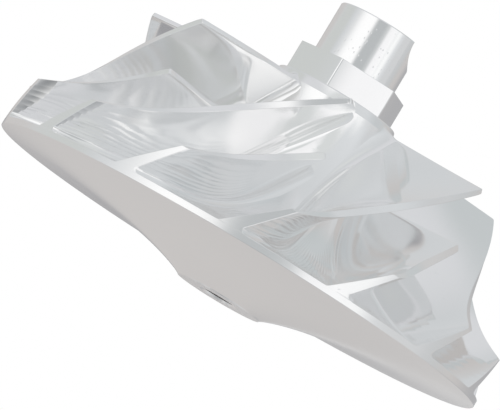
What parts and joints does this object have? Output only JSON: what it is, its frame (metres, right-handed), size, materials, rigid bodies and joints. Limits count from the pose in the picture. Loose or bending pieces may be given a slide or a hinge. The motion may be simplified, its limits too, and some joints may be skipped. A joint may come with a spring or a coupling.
{
  "type": "turbocharger compressor wheel",
  "caption": "Milled aluminium compressor wheel with full and splitter blades, a hexagon and spigot on its nose, and a curved back with a shaft boss.",
  "frame": {"origin": "centre of the round boss face on the back, where the wheel seats on its shaft's shoulder", "axes": "+Z along the shaft axis towards the nose; +X through the balancing scoop on the spigot"},
  "size_m": [0.096, 0.096, 0.0558],
  "materials": {
    "milled_aluminium": "bright milled and turned"
  },
  "bodies": {
    "root": {"compressor_wheel": "milled_aluminium"}
  },
  "joints": []
}
